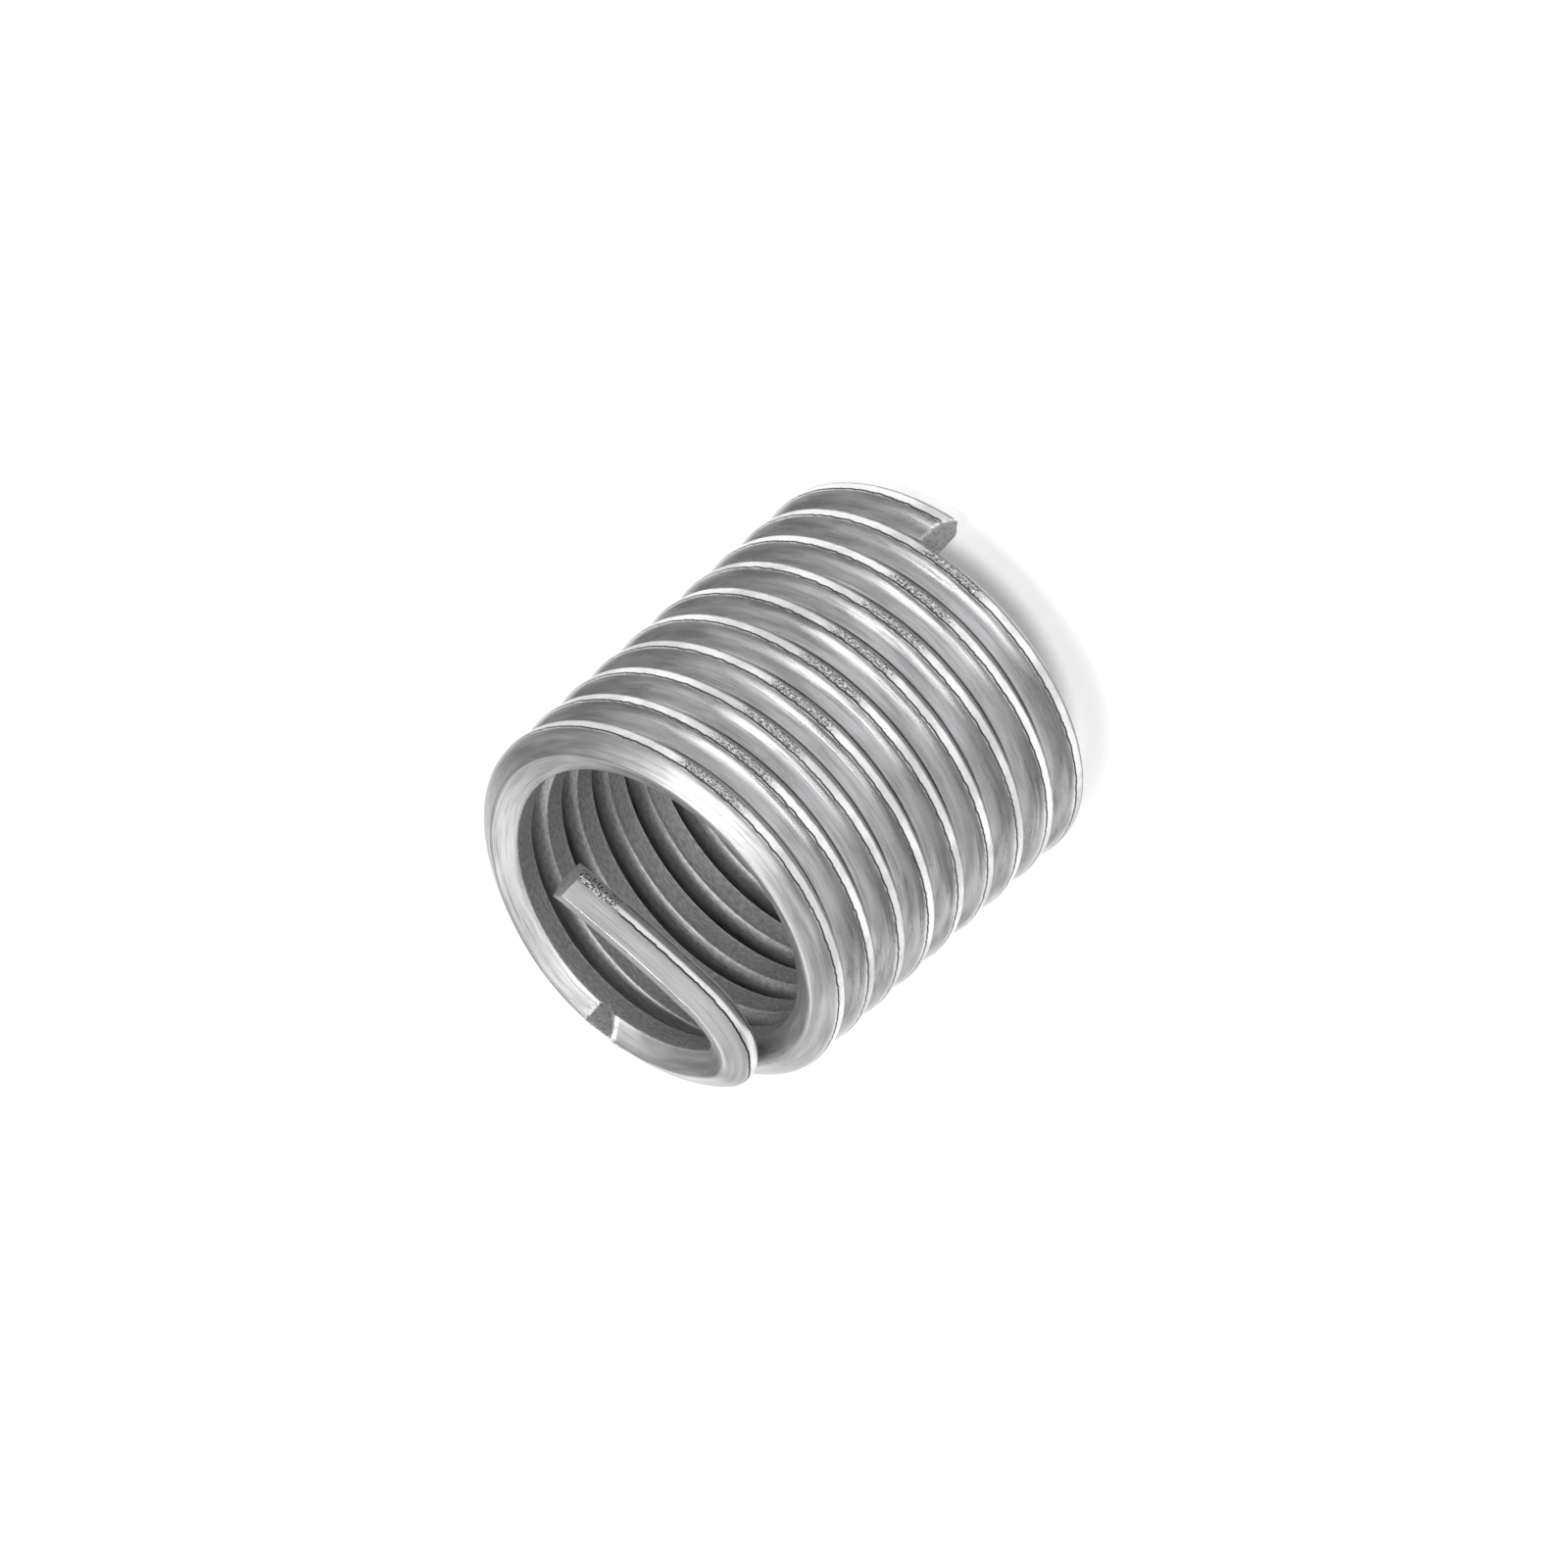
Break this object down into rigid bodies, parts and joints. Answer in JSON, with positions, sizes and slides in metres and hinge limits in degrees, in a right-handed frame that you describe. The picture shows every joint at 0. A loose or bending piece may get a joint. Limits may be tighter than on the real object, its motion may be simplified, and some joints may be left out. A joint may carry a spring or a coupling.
{
  "type": "wire thread insert",
  "caption": "Coiled wire thread insert with a break notch and a drive tang across its bore, for lining a tapped hole with a new right-hand thread.",
  "frame": {"origin": "on the coil axis, at the lowest point of the open end, on which the insert stands", "axes": "+Z along the coil axis, from the open end to the tang; -Y to the side that the picture shows"},
  "size_m": [0.0188, 0.0188, 0.0215],
  "materials": {
    "wire_steel": "satin stainless wire, with fine drawing lines along it"
  },
  "bodies": {
    "root": {"wire_coil": "wire_steel"}
  },
  "joints": []
}
